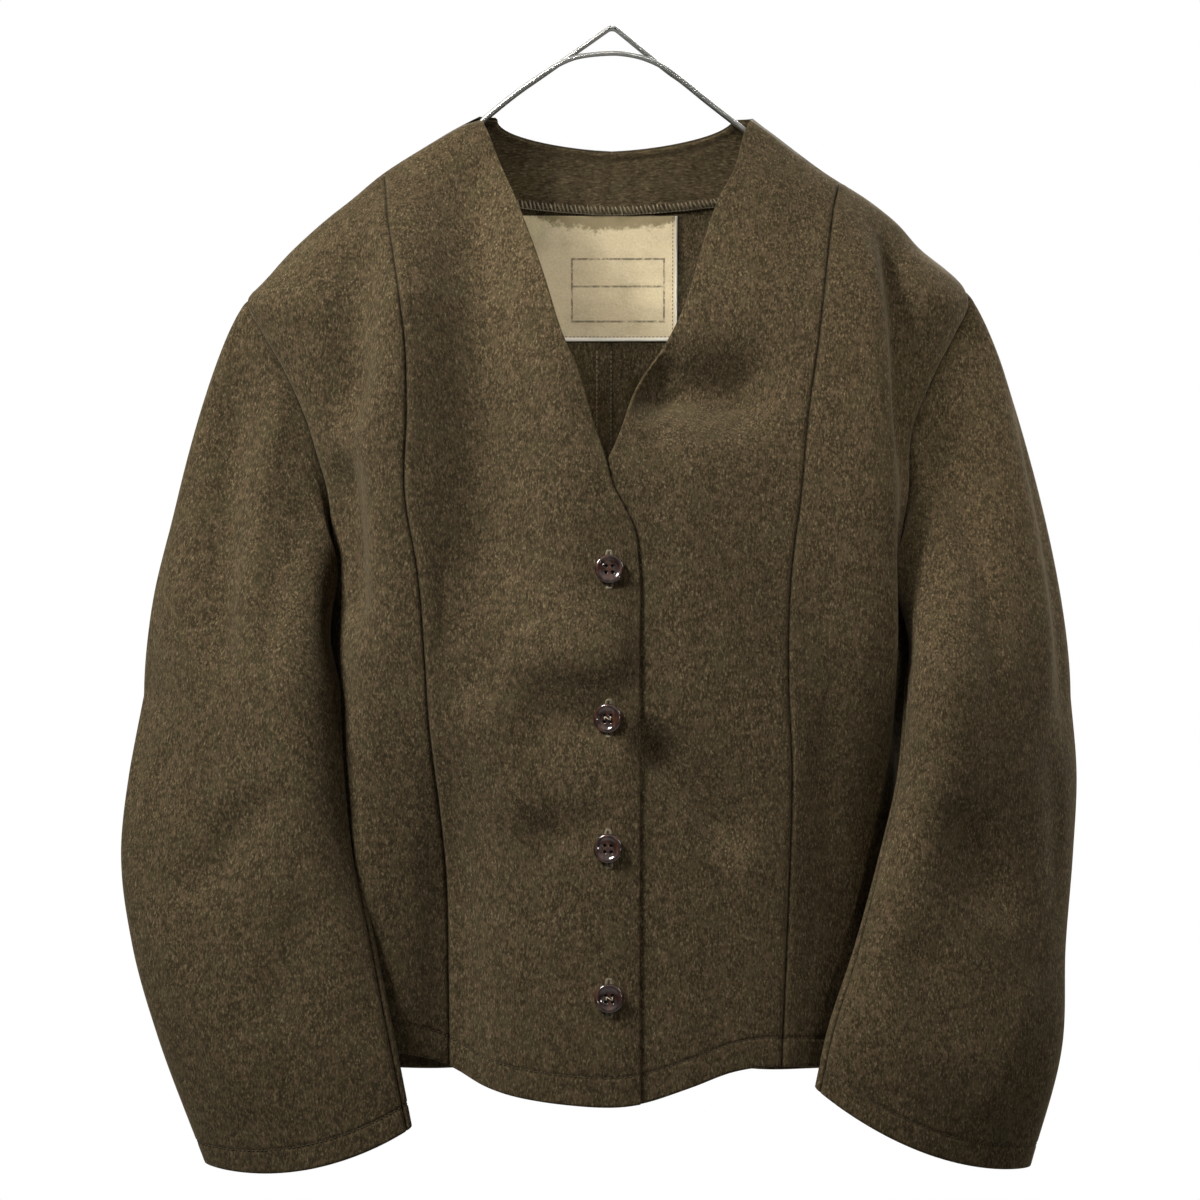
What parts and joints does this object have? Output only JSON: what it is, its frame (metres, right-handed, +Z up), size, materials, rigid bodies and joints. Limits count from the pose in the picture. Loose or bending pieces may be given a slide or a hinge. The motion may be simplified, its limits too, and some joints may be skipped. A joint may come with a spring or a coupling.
{
  "type": "liner jacket on a wire hanger",
  "caption": "Collarless wool liner jacket with a V neck, princess seams, buttoned front and shaped sleeves, hanging on a bent wire hanger.",
  "frame": {"origin": "inside of the hanger's peak, where a hook bears on the wire", "axes": "+X to the wearer's left, +Y to the wearer's back, +Z up"},
  "size_m": [0.6085, 0.1974, 0.7213],
  "materials": {
    "wool": "fulled wool with a nap",
    "label_cotton": "woven cotton",
    "button_brown": "polished",
    "wire_steel": "bright drawn wire"
  },
  "bodies": {
    "root": {"right_centre_front": "wool", "right_side_front": "wool", "left_centre_front": "wool", "left_side_front": "wool", "back_right": "wool", "back_left": "wool", "right_upper_sleeve": "wool", "left_upper_sleeve": "wool", "right_under_sleeve": "wool", "left_under_sleeve": "wool", "back_neck_facing": "wool", "label": "label_cotton", "button_1": "button_brown", "button_2": "button_brown", "button_3": "button_brown", "button_4": "button_brown", "hanger_wire": "wire_steel"}
  },
  "joints": []
}
